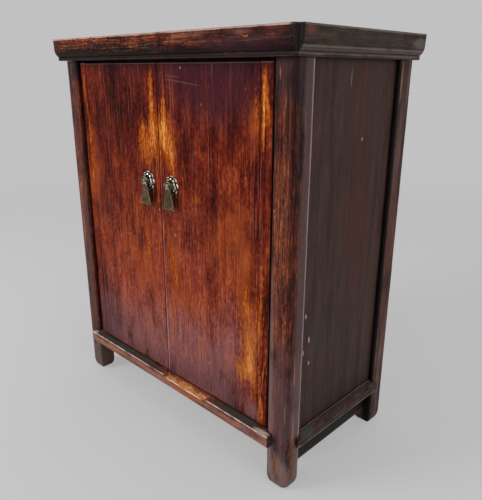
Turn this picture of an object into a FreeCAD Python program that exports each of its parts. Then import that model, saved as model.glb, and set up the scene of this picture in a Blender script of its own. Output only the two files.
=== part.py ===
import FreeCAD, Part
import math
import os

# Kang cabinet: a low cabinet with an overhanging framed cap, four rounded posts,
# two flush doors that turn on wooden pins, and a pair of cast pulls with hanging tags.
# Millimetres. X is the width, the front looks along -Y, Z is up.
# The origin is on the floor, under the middle of the cap.

# Whole cabinet
cabinet_height = 820.0
cap_width = 708.0
cap_depth = 378.0
body_width = 680.0
body_depth = 338.0

# Cap: a mitred frame with a moulded edge round a floating panel
cap_thickness = 45.0
cap_rail_width = 64.0
cap_face_height = 17.0
cap_face_batter = 1.0
cap_curve_bulge = 2.6
cap_curve_inset = 7.0
cap_quirk = 1.6
cap_bead_height = 8.0
cap_bead_bulge = 1.2
cap_bead_corner_radius = 1.4
cap_panel_thickness = 16.0
cap_panel_sink = 1.0
cap_panel_gap = 0.3
cap_tongue_thickness = 6.0
cap_tongue_length = 7.0
cap_batten_width = 30.0
cap_batten_height = 22.0
cap_batten_place = 110.0

# Posts
front_post_width = 49.0
front_post_depth = 40.0
back_post_width = 42.0
back_post_depth = 47.0
front_corner_radius = 16.0
back_corner_radius = 9.0
post_arris_radius = 5.0
foot_rounding = 4.0
post_tenon_size = 16.0
post_tenon_height = 22.0

# Bottom rails
rail_bottom = 90.0
rail_height = 24.0
sill_proud = 14.0
sill_lap = 14.0
side_rail_proud = 8.0
side_rail_depth = 36.0
side_rail_front_lap = 13.0
side_rail_back_lap = 11.0
rail_arris_radius = 2.5
back_rail_thickness = 22.0
back_rail_setback = 6.0
back_top_rail_height = 26.0
back_middle_rail_drop = 10.0
back_middle_rail_height = 28.0

# Tenons and housings
tenon_thickness = 12.0
tenon_length = 20.0
tenon_shoulder = 3.0
joint_clearance = 0.1
housing_depth = 6.0
overrun = 5.0

# Panels and boards
side_panel_thickness = 12.0
side_panel_recess = 10.0
side_panel_tongue = 8.0
apron_thickness = 12.0
apron_recess = 18.0
apron_bottom = 33.0
back_panel_thickness = 10.0
floor_thickness = 14.0
floor_tongue_thickness = 6.0
floor_batten_width = 34.0
floor_batten_height = 14.0
shelf_height_share = 0.517
shelf_thickness = 16.0
shelf_front_gap = 12.0
shelf_fit = 0.5
bearer_width = 22.0
bearer_height = 24.0
bearer_tenon_length = 10.0

# Doors
door_thickness = 22.0
door_setback = 6.0
door_side_gap = 1.5
door_seam_gap = 1.6
door_seam_place = -9.4
door_bottom_gap = 1.5
door_lift_gap = 5.0
door_arris_radius = 1.5
stile_width = 31.0
stile_tongue_thickness = 8.0
pin_radius = 7.0
pin_clearance = 0.05
pin_end_room = 0.5
top_pin_hold = 14.0
bottom_pin_hold = 5.0
door_batten_height = 36.0
door_batten_thickness = 14.0
door_batten_sink = 4.0
door_batten_inset = 26.0
door_batten_tenon_length = 12.0
door_batten_shares = [0.106, 0.435, 0.893]
stop_strip_height = 12.0
stop_strip_depth = 12.0
stop_gap = 0.3

# Pulls
pull_height_share = 0.6524
pull_from_seam = 37.6
plate_radius = 19.5
plate_thickness = 3.0
petal_count = 8
petal_radius = 6.2
petal_rise = 2.6
boss_radius = 12.0
boss_rise = 13.0
shank_radius = 2.4
shank_fit = 0.1
clinch_length = 12.0
clinch_width = 3.0
clinch_thickness = 1.2
slot_half_width = 5.2
slot_room = 0.5
tag_pin_drop = 4.0
tag_pin_standoff = 11.0
tag_pin_radius = 1.4
tag_pin_bury = 1.6
knuckle_radius = 3.0
knuckle_half_width = 4.6
tag_thickness = 2.0
tag_neck_length = 9.0
tag_length = 44.5
tag_shoulder_half_width = 7.5
tag_bottom_half_width = 17.0
tag_waist_pull = 1.5
tag_bottom_hollow = 2.0

# Levels and planes that several pieces share
cap_bottom = cabinet_height - cap_thickness
cap_corner_radius = cap_face_batter + cap_curve_inset + cap_quirk + cap_bead_corner_radius
rail_top = rail_bottom + rail_height
body_half_width = body_width / 2
post_front = -body_depth / 2
post_back = body_depth / 2
front_post_inner = body_half_width - front_post_width
back_post_inner = body_half_width - back_post_width
front_post_rear = post_front + front_post_depth
back_post_front = post_back - back_post_depth
side_rail_inner = body_half_width - side_rail_depth
side_panel_outer = body_half_width - side_panel_recess
side_panel_inner = side_panel_outer - side_panel_thickness
back_rail_rear = post_back - back_rail_setback
back_rail_front = back_rail_rear - back_rail_thickness
back_panel_middle = (back_rail_front + back_rail_rear) / 2
cap_half_width = cap_width / 2
cap_half_depth = cap_depth / 2
cap_inner_x = cap_half_width - cap_rail_width
cap_inner_y = cap_half_depth - cap_rail_width
cap_panel_top = cabinet_height - cap_panel_sink
cap_panel_bottom = cap_panel_top - cap_panel_thickness
door_front = post_front + door_setback
door_back = door_front + door_thickness
door_bottom = rail_top + door_bottom_gap
door_top = cap_bottom - door_lift_gap
door_batten_heights = [door_bottom + share * (door_top - door_bottom) for share in door_batten_shares]
pull_height = door_bottom + pull_height_share * (door_top - door_bottom)
door_outer = front_post_inner - door_side_gap
stile_inner = door_outer - stile_width
pivot_x = door_outer - door_thickness / 2
pivot_y = (door_front + door_back) / 2
floor_bottom = rail_top - floor_thickness
shelf_top = rail_top + shelf_height_share * (cap_bottom - rail_top)
shelf_bottom = shelf_top - shelf_thickness
back_middle_rail_bottom = shelf_bottom - back_middle_rail_drop
bearer_outer = side_panel_inner
bearer_inner = bearer_outer - bearer_width


def block(x_low, x_high, y_low, y_high, z_low, z_high):
    corner = FreeCAD.Vector(x_low, y_low, z_low)
    return Part.makeBox(x_high - x_low, y_high - y_low, z_high - z_low, corner)


def grown(x_low, x_high, y_low, y_high, z_low, z_high, by):
    return block(x_low - by, x_high + by, y_low - by, y_high + by, z_low - by, z_high + by)


def mirrored(shape):
    return shape.mirror(FreeCAD.Vector(0, 0, 0), FreeCAD.Vector(1, 0, 0))


def prism(points, z_low, z_high):
    corners = [FreeCAD.Vector(x, y, z_low) for x, y in points]
    face = Part.Face(Part.makePolygon(corners + corners[:1]))
    return face.extrude(FreeCAD.Vector(0, 0, z_high - z_low))


def edges_where(shape, test):
    return [edge for edge in shape.Edges if test(edge.BoundBox)]


def near(first, second):
    return abs(first - second) < joint_clearance / 2


def rounded(shape, radius, test):
    return shape.makeFillet(radius, edges_where(shape, test))


def save(name, shape):
    if len(shape.Solids) == 1:
        shape = shape.Solids[0]
    assert shape.isValid(), name
    shape.exportStep(os.path.join("parts", name + ".step"))


# Tenons. Each is kept as its low and high corners, so that the same numbers cut the mortise.
def sill_tenon():
    middle = (post_front + front_post_rear) / 2
    low = rail_bottom + rail_height / 2 + tenon_shoulder / 2
    return [front_post_inner, front_post_inner + tenon_length,
            middle - tenon_thickness / 2, middle + tenon_thickness / 2,
            low, rail_top - tenon_shoulder]


def back_rail_tenon(z_low, z_high):
    return [back_post_inner, back_post_inner + tenon_length,
            back_panel_middle - tenon_thickness / 2, back_panel_middle + tenon_thickness / 2,
            z_low, z_high]


def back_bottom_tenon():
    low = rail_bottom + rail_height / 2 + tenon_shoulder / 2
    return back_rail_tenon(low, rail_top - tenon_shoulder)


def back_middle_tenon():
    low = back_middle_rail_bottom + tenon_shoulder
    return back_rail_tenon(low, back_middle_rail_bottom + back_middle_rail_height - tenon_shoulder)


def back_top_tenon():
    low = cap_bottom - back_top_rail_height + tenon_shoulder
    return back_rail_tenon(low, cap_bottom - tenon_shoulder)


def side_rail_tenons():
    middle = (side_rail_inner + body_half_width) / 2
    x_low = middle - tenon_thickness / 2
    x_high = middle + tenon_thickness / 2
    z_low = rail_bottom + tenon_shoulder
    z_high = rail_bottom + rail_height / 2 - tenon_shoulder / 2
    front = [x_low, x_high, front_post_rear - tenon_length, front_post_rear, z_low, z_high]
    back = [x_low, x_high, back_post_front, back_post_front + tenon_length, z_low, z_high]
    return front, back


def apron_ends():
    x_high = body_half_width - apron_recess
    x_low = x_high - apron_thickness
    z_high = rail_bottom
    front = [x_low, x_high, front_post_rear - housing_depth, front_post_rear, apron_bottom, z_high]
    back = [x_low, x_high, back_post_front, back_post_front + housing_depth, apron_bottom, z_high]
    return front, back


def bearer_tenons():
    x_low = bearer_inner + tenon_shoulder
    x_high = bearer_outer - tenon_shoulder
    z_low = shelf_bottom - bearer_height + tenon_shoulder
    z_high = shelf_bottom - tenon_shoulder
    front = [x_low, x_high, front_post_rear - bearer_tenon_length, front_post_rear, z_low, z_high]
    back = [x_low, x_high, back_post_front, back_post_front + bearer_tenon_length, z_low, z_high]
    return front, back


def side_panel_box():
    return [side_panel_inner, side_panel_outer,
            front_post_rear - side_panel_tongue, back_post_front + side_panel_tongue,
            rail_top - housing_depth, cap_bottom + housing_depth]


def post_tenon(x_middle, y_middle):
    half = post_tenon_size / 2
    return [x_middle - half, x_middle + half, y_middle - half, y_middle + half,
            cap_bottom, cap_bottom + post_tenon_height]


def front_post_tenon():
    return post_tenon((front_post_inner + body_half_width) / 2, (post_front + front_post_rear) / 2)


def back_post_tenon():
    return post_tenon((back_post_inner + body_half_width) / 2, (back_post_front + post_back) / 2)


# Posts: one rounded outer corner, three softened ones, and a foot worn round
def post_blank(x_low, x_high, y_low, y_high, outer_y, outer_radius):
    blank = block(x_low, x_high, y_low, y_high, 0, cap_bottom)

    def is_upright(box):
        return near(box.XMin, box.XMax) and near(box.YMin, box.YMax)

    def is_outer(box):
        return is_upright(box) and near(box.XMax, x_high) and near(box.YMax, outer_y)

    def is_other(box):
        return is_upright(box) and not is_outer(box)

    others = edges_where(blank, is_other)
    places = [(edge.BoundBox.XMax, edge.BoundBox.YMax) for edge in others]
    blank = rounded(blank, outer_radius, is_outer)
    for x, y in places:
        blank = rounded(blank, post_arris_radius,
                        lambda box: is_upright(box) and near(box.XMax, x) and near(box.YMax, y))
    return rounded(blank, foot_rounding, lambda box: near(box.ZMax, 0))


def front_post():
    post = post_blank(front_post_inner, body_half_width, post_front, front_post_rear,
                      post_front, front_corner_radius)
    post = post.fuse(block(*front_post_tenon()))
    cuts = [sill_tenon(), side_rail_tenons()[0], apron_ends()[0], bearer_tenons()[0]]
    cuts.append(side_panel_box())
    for cut in cuts:
        post = post.cut(grown(*cut, joint_clearance))
    return post


def back_post():
    post = post_blank(back_post_inner, body_half_width, back_post_front, post_back,
                      post_back, back_corner_radius)
    post = post.fuse(block(*back_post_tenon()))
    cuts = [back_bottom_tenon(), back_middle_tenon(), back_top_tenon()]
    cuts += [side_rail_tenons()[1], apron_ends()[1], bearer_tenons()[1], side_panel_box()]
    cuts += [lower_back_box(), upper_back_box()]
    for cut in cuts:
        post = post.cut(grown(*cut, joint_clearance))
    return post


# Cap. Its moulded edge has a nearly upright face, a swelling curve, a quirk and a bead.
def moulding_edges(reach):
    face_low = cabinet_height - cap_face_height
    bead_top = cap_bottom + cap_bead_height
    curve_reach = reach - cap_face_batter - cap_curve_inset
    bead_reach = curve_reach - cap_quirk
    curve_swell = FreeCAD.Vector((reach - cap_face_batter + curve_reach) / 2 + cap_curve_bulge, 0,
                                 (face_low + bead_top) / 2)
    bead_swell = FreeCAD.Vector(bead_reach + cap_bead_bulge, 0, (bead_top + cap_bottom) / 2)
    start = FreeCAD.Vector(0, 0, cabinet_height)
    corner = FreeCAD.Vector(reach, 0, cabinet_height)
    face_end = FreeCAD.Vector(reach - cap_face_batter, 0, face_low)
    curve_end = FreeCAD.Vector(curve_reach, 0, bead_top)
    bead_start = FreeCAD.Vector(bead_reach, 0, bead_top)
    bead_end = FreeCAD.Vector(bead_reach, 0, cap_bottom)
    finish = FreeCAD.Vector(0, 0, cap_bottom)
    return [Part.makeLine(start, corner), Part.makeLine(corner, face_end),
            Part.Arc(face_end, curve_swell, curve_end).toShape(),
            Part.makeLine(curve_end, bead_start),
            Part.Arc(bead_start, bead_swell, bead_end).toShape(),
            Part.makeLine(bead_end, finish), Part.makeLine(finish, start)]


def moulding_face(reach):
    return Part.Face(Part.Wire(moulding_edges(reach)))


def half_slab(reach, run, turn):
    slab = moulding_face(reach)
    slab.translate(FreeCAD.Vector(0, -run / 2, 0))
    slab = slab.extrude(FreeCAD.Vector(0, run, 0))
    slab.rotate(FreeCAD.Vector(0, 0, 0), FreeCAD.Vector(0, 0, 1), turn)
    return slab


def moulded_corner(x, y):
    axis = FreeCAD.Vector(0, 0, 1)
    corner = moulding_face(cap_corner_radius).revolve(FreeCAD.Vector(0, 0, 0), axis, 360)
    corner.translate(FreeCAD.Vector(x, y, 0))
    return corner


def cap_blank():
    straight_x = cap_width - 2 * cap_corner_radius
    straight_y = cap_depth - 2 * cap_corner_radius
    slabs = [half_slab(cap_half_width, straight_y, 0), half_slab(cap_half_depth, straight_x, 90),
             half_slab(cap_half_width, straight_y, 180), half_slab(cap_half_depth, straight_x, 270)]
    corners = [moulded_corner(side * straight_x / 2, end * straight_y / 2)
               for side in (-1, 1) for end in (-1, 1)]
    blank = slabs[0].fuse(slabs[1:] + corners).removeSplitter()
    opening = block(-cap_inner_x, cap_inner_x, -cap_inner_y, cap_inner_y,
                    cap_bottom - overrun, cabinet_height + overrun)
    return blank.cut(opening)


def cap_tongue_box():
    z_low = cap_panel_bottom + (cap_panel_thickness - cap_tongue_thickness) / 2
    return [-cap_inner_x - cap_tongue_length, cap_inner_x + cap_tongue_length,
            -cap_inner_y - cap_tongue_length, cap_inner_y + cap_tongue_length,
            z_low, z_low + cap_tongue_thickness]


def cap_batten_boxes(side):
    x_low = side * cap_batten_place - cap_batten_width / 2
    x_high = side * cap_batten_place + cap_batten_width / 2
    z_low = cap_panel_bottom - cap_batten_height
    bar = [x_low, x_high, -cap_inner_y, cap_inner_y, z_low, cap_panel_bottom]
    tenon = [x_low + tenon_shoulder, x_high - tenon_shoulder,
             -cap_inner_y - tenon_thickness, cap_inner_y + tenon_thickness,
             z_low + tenon_shoulder, cap_panel_bottom - tenon_shoulder]
    return bar, tenon


def pivot_hole(x):
    depth = top_pin_hold + door_lift_gap + pin_end_room
    return Part.makeCylinder(pin_radius + pin_clearance, depth + overrun,
                             FreeCAD.Vector(x, pivot_y, cap_bottom - overrun))


def cap_rails():
    blank = cap_blank().cut(grown(*cap_tongue_box(), joint_clearance))
    for side in (-1, 1):
        blank = blank.cut(grown(*cap_batten_boxes(side)[1], joint_clearance))
        blank = blank.cut(pivot_hole(side * pivot_x))
    for box in (front_post_tenon(), back_post_tenon(), side_panel_box()):
        cut = grown(*box, joint_clearance)
        blank = blank.cut([cut, mirrored(cut)])
    outer_x = cap_half_width + overrun
    outer_y = cap_half_depth + overrun
    front_area = [(-outer_x, -outer_y), (outer_x, -outer_y),
                  (cap_inner_x, -cap_inner_y), (-cap_inner_x, -cap_inner_y)]
    side_area = [(outer_x, -outer_y), (outer_x, outer_y),
                 (cap_inner_x, cap_inner_y), (cap_inner_x, -cap_inner_y)]
    back_area = [(x, -y) for x, y in front_area]
    left_area = [(-x, y) for x, y in side_area]
    areas = {"cap_front_rail": front_area, "cap_right_rail": side_area,
             "cap_back_rail": back_area, "cap_left_rail": left_area}
    low = cap_bottom - overrun
    high = cabinet_height + overrun
    return {name: blank.common(prism(area, low, high)) for name, area in areas.items()}


def cap_panel():
    reach_x = cap_inner_x - cap_panel_gap
    reach_y = cap_inner_y - cap_panel_gap
    body = block(-reach_x, reach_x, -reach_y, reach_y, cap_panel_bottom, cap_panel_top)
    return body.fuse(block(*cap_tongue_box())).removeSplitter()


def cap_batten(side):
    bar, tenon = cap_batten_boxes(side)
    return block(*bar).fuse(block(*tenon)).removeSplitter()


# Bottom rails. The sill and the side rails stand proud and lap onto the posts.
def floor_groove():
    z_high = rail_top - (floor_thickness - floor_tongue_thickness) / 2
    return [-side_rail_inner - housing_depth, side_rail_inner + housing_depth,
            front_post_rear - housing_depth, back_rail_front + housing_depth,
            z_high - floor_tongue_thickness, z_high]


def floor_batten_box():
    return [-floor_batten_width / 2, floor_batten_width / 2,
            front_post_rear - housing_depth, back_rail_front + housing_depth,
            floor_bottom - floor_batten_height, floor_bottom]


def sill_rail():
    lip_end = front_post_inner + sill_lap
    lip_front = post_front - sill_proud
    lip = block(-lip_end, lip_end, lip_front, post_front, rail_bottom, rail_top)
    lip = rounded(lip, rail_arris_radius, lambda box: near(box.YMax, lip_front))
    bar = block(-front_post_inner, front_post_inner, post_front, front_post_rear,
                rail_bottom, rail_top)
    tenon = block(*sill_tenon())
    sill = lip.fuse([bar, tenon, mirrored(tenon)]).removeSplitter()
    for side in (-1, 1):
        hole = Part.makeCylinder(pin_radius + pin_clearance, bottom_pin_hold + overrun,
                                 FreeCAD.Vector(side * pivot_x, pivot_y, rail_top - bottom_pin_hold))
        sill = sill.cut(hole)
    sill = sill.cut(grown(*floor_groove(), joint_clearance))
    return sill.cut(grown(*floor_batten_box(), joint_clearance))


def back_rail(z_low, z_high, tenon_box):
    bar = block(-back_post_inner, back_post_inner, back_rail_front, back_rail_rear, z_low, z_high)
    tenon = block(*tenon_box)
    rail = bar.fuse([tenon, mirrored(tenon)]).removeSplitter()
    for box in (lower_back_box(), upper_back_box(), floor_groove(), floor_batten_box()):
        rail = rail.cut(grown(*box, joint_clearance))
    return rail


def side_rail():
    lip_outer = body_half_width + side_rail_proud
    lip = block(body_half_width, lip_outer,
                front_post_rear - side_rail_front_lap, back_post_front + side_rail_back_lap,
                rail_bottom, rail_top)
    lip = rounded(lip, rail_arris_radius, lambda box: near(box.XMin, lip_outer))
    bar = block(side_rail_inner, body_half_width, front_post_rear, back_post_front,
                rail_bottom, rail_top)
    front_tenon, back_tenon = side_rail_tenons()
    rail = lip.fuse([bar, block(*front_tenon), block(*back_tenon)]).removeSplitter()
    rail = rail.cut(grown(*side_panel_box(), joint_clearance))
    return rail.cut(grown(*floor_groove(), joint_clearance))


def side_apron():
    front_end, back_end = apron_ends()
    return block(front_end[0], front_end[1], front_end[2], back_end[3], apron_bottom, rail_bottom)


# Panels of the back, each in a groove all round
def back_box(z_low, z_high):
    half = back_panel_thickness / 2
    reach = back_post_inner + housing_depth
    return [-reach, reach, back_panel_middle - half, back_panel_middle + half,
            z_low - housing_depth, z_high + housing_depth]


def lower_back_box():
    return back_box(rail_top, back_middle_rail_bottom)


def upper_back_box():
    return back_box(back_middle_rail_bottom + back_middle_rail_height,
                    cap_bottom - back_top_rail_height)


# Floor and shelf boards, notched round the posts
def posts_outline(z_low, z_high):
    front = block(front_post_inner, body_half_width, post_front, front_post_rear, z_low, z_high)
    back = block(back_post_inner, body_half_width, back_post_front, post_back, z_low, z_high)
    return [front, back, mirrored(front), mirrored(back)]


def notched(board, z_low, z_high):
    for post in posts_outline(z_low - overrun, z_high + overrun):
        box = post.BoundBox
        board = board.cut(grown(box.XMin, box.XMax, box.YMin, box.YMax, box.ZMin, box.ZMax,
                                joint_clearance))
    return board


def floor_board():
    board = block(-side_rail_inner, side_rail_inner, front_post_rear, back_rail_front,
                  floor_bottom, rail_top)
    board = board.fuse(block(*floor_groove())).removeSplitter()
    return notched(board, floor_bottom, rail_top)


def floor_batten():
    return block(*floor_batten_box())


def shelf_board():
    reach = side_panel_inner - shelf_fit
    board = block(-reach, reach, front_post_rear + shelf_front_gap, back_rail_front - shelf_fit,
                  shelf_bottom, shelf_top)
    return notched(board, shelf_bottom, shelf_top)


def shelf_bearer():
    front_tenon, back_tenon = bearer_tenons()
    bar = block(bearer_inner, bearer_outer, front_post_rear, back_post_front,
                shelf_bottom - bearer_height, shelf_bottom)
    return bar.fuse([block(*front_tenon), block(*back_tenon)]).removeSplitter()


def stop_strip():
    reach = front_post_inner - joint_clearance
    y_low = door_back + stop_gap
    return block(-reach, reach, y_low, y_low + stop_strip_depth,
                 cap_bottom - stop_strip_height, cap_bottom)


# Doors. Each is drawn on the right, from its inner edge to the pivot, and the left is mirrored.
def stile_tongue_box():
    middle = (door_front + door_back) / 2
    return [stile_inner - housing_depth, stile_inner + housing_depth,
            middle - stile_tongue_thickness / 2, middle + stile_tongue_thickness / 2,
            door_bottom, door_top]


def door_batten_boxes(inner_edge, height):
    z_low = height - door_batten_height / 2
    z_high = height + door_batten_height / 2
    y_low = door_back - door_batten_sink
    bar = [inner_edge + door_batten_inset, stile_inner, y_low, y_low + door_batten_thickness,
           z_low, z_high]
    tenon = [stile_inner, stile_inner + door_batten_tenon_length, y_low, door_back - joint_clearance,
             z_low + tenon_shoulder, z_high - tenon_shoulder]
    return bar, tenon


def door_board(inner_edge, pull_x):
    board = block(inner_edge, stile_inner, door_front, door_back, door_bottom, door_top)
    board = rounded(board, door_arris_radius, lambda box: near(box.YMax, door_front))
    tongue = stile_tongue_box()
    tongue[0] = stile_inner - door_arris_radius
    board = board.fuse(block(*tongue)).removeSplitter()
    for height in door_batten_heights:
        bar = door_batten_boxes(inner_edge, height)[0]
        board = board.cut(grown(*bar, joint_clearance))
    return board.cut(shank(pull_x, shank_radius + shank_fit, overrun))


def door_stile():
    flat = block(stile_inner, pivot_x, door_front, door_back, door_bottom, door_top)
    flat = rounded(flat, door_arris_radius,
                   lambda box: near(box.YMax, door_front) and near(box.XMax, stile_inner))
    edge = Part.makeCylinder(door_thickness / 2, door_top - door_bottom,
                             FreeCAD.Vector(pivot_x, pivot_y, door_bottom))
    pin_low = rail_top - bottom_pin_hold + pin_end_room
    pin_high = cap_bottom + top_pin_hold
    pin = Part.makeCylinder(pin_radius, pin_high - pin_low,
                            FreeCAD.Vector(pivot_x, pivot_y, pin_low))
    stile = flat.fuse([edge, pin]).removeSplitter()
    tongue = stile_tongue_box()
    groove = block(tongue[0], tongue[1] + joint_clearance, tongue[2] - joint_clearance,
                   tongue[3] + joint_clearance, door_bottom - overrun, door_top + overrun)
    stile = stile.cut(groove)
    for height in door_batten_heights:
        stile = stile.cut(grown(*door_batten_boxes(0, height)[1], joint_clearance))
    return stile


def door_batten(inner_edge, height):
    bar, tenon = door_batten_boxes(inner_edge, height)
    batten = block(*bar).fuse(block(*tenon)).removeSplitter()
    return batten.cut(grown(*stile_tongue_box(), joint_clearance))


# Pulls: a petalled plate, a domed boss with a clinched shank and cross pin, and a flared tag
def facing(shape, x, y, z):
    shape.rotate(FreeCAD.Vector(0, 0, 0), FreeCAD.Vector(1, 0, 0), 90)
    shape.translate(FreeCAD.Vector(x, y, z))
    return shape


def shank(pull_x, radius, extra):
    length = door_thickness + plate_thickness + 2 * extra
    rod = Part.makeCylinder(radius, length, FreeCAD.Vector(0, 0, 0))
    return facing(rod, pull_x, door_back + extra, pull_height)


def pull_plate(pull_x):
    lobe_centre = plate_radius - petal_radius
    plate = Part.makeCylinder(lobe_centre + petal_radius / 2, plate_thickness)
    petal_ball = (petal_radius ** 2 + petal_rise ** 2) / (2 * petal_rise)
    for number in range(petal_count):
        angle = 2 * math.pi * (number + 1 / 2) / petal_count
        centre = FreeCAD.Vector(lobe_centre * math.cos(angle), lobe_centre * math.sin(angle), 0)
        lobe = Part.makeCylinder(petal_radius, plate_thickness, centre)
        swell = Part.makeCylinder(petal_radius, petal_rise, centre + FreeCAD.Vector(0, 0, plate_thickness))
        ball_centre = centre + FreeCAD.Vector(0, 0, plate_thickness + petal_rise - petal_ball)
        swell = swell.common(Part.makeSphere(petal_ball, ball_centre))
        plate = plate.fuse([lobe, swell])
    bed = Part.makeCylinder(boss_radius + joint_clearance, petal_rise + overrun,
                            FreeCAD.Vector(0, 0, plate_thickness))
    hole = Part.makeCylinder(shank_radius + shank_fit, plate_thickness + overrun,
                             FreeCAD.Vector(0, 0, -overrun / 2))
    plate = plate.cut([bed, hole]).removeSplitter()
    return facing(plate, pull_x, door_front, pull_height)


def pull_boss(pull_x):
    ball = (boss_radius ** 2 + boss_rise ** 2) / (2 * boss_rise)
    dome = Part.makeCylinder(boss_radius, boss_rise)
    dome = dome.common(Part.makeSphere(ball, FreeCAD.Vector(0, 0, boss_rise - ball)))
    dome = facing(dome, pull_x, door_front - plate_thickness, pull_height)
    pin_z = pull_height - tag_pin_drop
    slot = block(pull_x - slot_half_width, pull_x + slot_half_width,
                 door_front - plate_thickness - boss_rise - overrun, door_front - plate_thickness,
                 pull_height - boss_radius - overrun, pin_z + knuckle_radius + slot_room)
    dome = dome.cut(slot)
    half = slot_half_width + tag_pin_bury
    pin = Part.makeCylinder(tag_pin_radius, 2 * half,
                            FreeCAD.Vector(pull_x - half, door_front - tag_pin_standoff, pin_z),
                            FreeCAD.Vector(1, 0, 0))
    legs = block(pull_x - clinch_length, pull_x + clinch_length,
                 door_back, door_back + clinch_thickness,
                 pull_height - clinch_width / 2, pull_height + clinch_width / 2)
    return dome.fuse([pin, shank(pull_x, shank_radius, 0), legs]).removeSplitter()


def pull_tag(pull_x):
    pin_y = door_front - tag_pin_standoff
    pin_z = pull_height - tag_pin_drop
    neck_end = pin_z - tag_neck_length
    bottom = pin_z - tag_length
    waist = (tag_shoulder_half_width + tag_bottom_half_width) / 2 - tag_waist_pull
    plane = pin_y - tag_thickness / 2

    def place(x, z):
        return FreeCAD.Vector(pull_x + x, plane, z)

    side = [place(knuckle_half_width, pin_z), place(knuckle_half_width, neck_end),
            place(tag_shoulder_half_width, neck_end), place(waist, (neck_end + bottom) / 2),
            place(tag_bottom_half_width, bottom)]
    other = [place(pull_x - point.x, point.z) for point in side]
    hollow = place(0, bottom + tag_bottom_hollow)
    edges = [Part.makeLine(side[0], side[1]), Part.makeLine(side[1], side[2]),
             Part.Arc(side[2], side[3], side[4]).toShape(),
             Part.Arc(side[4], hollow, other[4]).toShape(),
             Part.Arc(other[4], other[3], other[2]).toShape(),
             Part.makeLine(other[2], other[1]), Part.makeLine(other[1], other[0]),
             Part.makeLine(other[0], side[0])]
    blade = Part.Face(Part.Wire(edges)).extrude(FreeCAD.Vector(0, tag_thickness, 0))
    axis = FreeCAD.Vector(1, 0, 0)
    start = FreeCAD.Vector(pull_x - knuckle_half_width, pin_y, pin_z)
    knuckle = Part.makeCylinder(knuckle_radius, 2 * knuckle_half_width, start, axis)
    bore = Part.makeCylinder(tag_pin_radius + pin_clearance, 2 * knuckle_half_width, start, axis)
    return blade.fuse(knuckle).cut(bore).removeSplitter()


def door_pieces(side, name):
    inner_edge = side * door_seam_place + door_seam_gap / 2
    pull_x = side * door_seam_place + pull_from_seam
    pieces = {name + "_door_board": door_board(inner_edge, pull_x), name + "_door_stile": door_stile()}
    for word, height in zip(("bottom", "middle", "top"), door_batten_heights):
        pieces[name + "_door_batten_" + word] = door_batten(inner_edge, height)
    pieces[name + "_pull_plate"] = pull_plate(pull_x)
    pieces[name + "_pull_boss"] = pull_boss(pull_x)
    pieces[name + "_pull_tag"] = pull_tag(pull_x)
    if side < 0:
        pieces = {word: mirrored(shape) for word, shape in pieces.items()}
    return pieces


def all_pieces():
    paired = {"front_{}_post": front_post(), "back_{}_post": back_post(),
              "{}_side_rail": side_rail(), "{}_side_apron": side_apron(),
              "{}_side_panel": block(*side_panel_box()), "{}_shelf_bearer": shelf_bearer()}
    pieces = {}
    for name, shape in paired.items():
        pieces[name.format("right")] = shape
        pieces[name.format("left")] = mirrored(shape)
    pieces.update(cap_rails())
    pieces["cap_panel"] = cap_panel()
    pieces["cap_left_batten"] = cap_batten(-1)
    pieces["cap_right_batten"] = cap_batten(1)
    pieces["front_sill_rail"] = sill_rail()
    pieces["back_bottom_rail"] = back_rail(rail_bottom, rail_top, back_bottom_tenon())
    pieces["back_middle_rail"] = back_rail(back_middle_rail_bottom,
                                           back_middle_rail_bottom + back_middle_rail_height,
                                           back_middle_tenon())
    pieces["back_top_rail"] = back_rail(cap_bottom - back_top_rail_height, cap_bottom,
                                        back_top_tenon())
    pieces["lower_back_panel"] = block(*lower_back_box())
    pieces["upper_back_panel"] = block(*upper_back_box())
    pieces["floor_board"] = floor_board()
    pieces["floor_batten"] = floor_batten()
    pieces["shelf_board"] = shelf_board()
    pieces["door_stop_strip"] = stop_strip()
    pieces.update(door_pieces(1, "right"))
    pieces.update(door_pieces(-1, "left"))
    return pieces


os.makedirs("parts", exist_ok=True)
for piece_name, piece_shape in all_pieces().items():
    save(piece_name, piece_shape)
print("pieces", len(os.listdir("parts")))
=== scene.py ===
import random
from math import atan2, cos, hypot, pi, radians, sin, sqrt, tau
import bmesh
import bpy
from mathutils import Matrix, Vector, noise


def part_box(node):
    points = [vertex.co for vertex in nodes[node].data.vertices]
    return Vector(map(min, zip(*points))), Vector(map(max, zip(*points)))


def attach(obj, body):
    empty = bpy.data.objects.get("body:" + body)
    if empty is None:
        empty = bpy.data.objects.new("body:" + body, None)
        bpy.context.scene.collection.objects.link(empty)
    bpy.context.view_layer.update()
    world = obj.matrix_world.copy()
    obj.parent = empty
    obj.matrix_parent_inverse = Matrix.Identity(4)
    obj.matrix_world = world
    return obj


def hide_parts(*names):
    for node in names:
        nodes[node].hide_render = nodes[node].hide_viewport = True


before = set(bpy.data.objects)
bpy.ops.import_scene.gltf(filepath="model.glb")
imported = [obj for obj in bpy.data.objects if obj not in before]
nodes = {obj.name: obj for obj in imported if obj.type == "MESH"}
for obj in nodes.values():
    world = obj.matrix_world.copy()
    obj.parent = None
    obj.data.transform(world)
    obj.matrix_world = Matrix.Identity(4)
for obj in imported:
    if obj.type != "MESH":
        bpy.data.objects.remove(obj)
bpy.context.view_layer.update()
mm = 0.001
mergeGap = 0.01 * mm  # points nearer than this become one
cutGap = 0.001 * mm  # points nearer than this lie on a cut
smoothAngle = 32  # degrees; edges that turn more are drawn sharp
everywhere = 9999  # mm; a patch this large ignores that axis
print("frame loaded:", len(nodes), "nodes")


def hexColour(text):  # sRGB hex to the linear colour that Blender works in
    parts = [int(text[i:i + 2], 16) / 255 for i in (1, 3, 5)]
    return [c / 12.92 if c <= 0.04045 else ((c + 0.055) / 1.055) ** 2.4 for c in parts] + [1.0]


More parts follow.
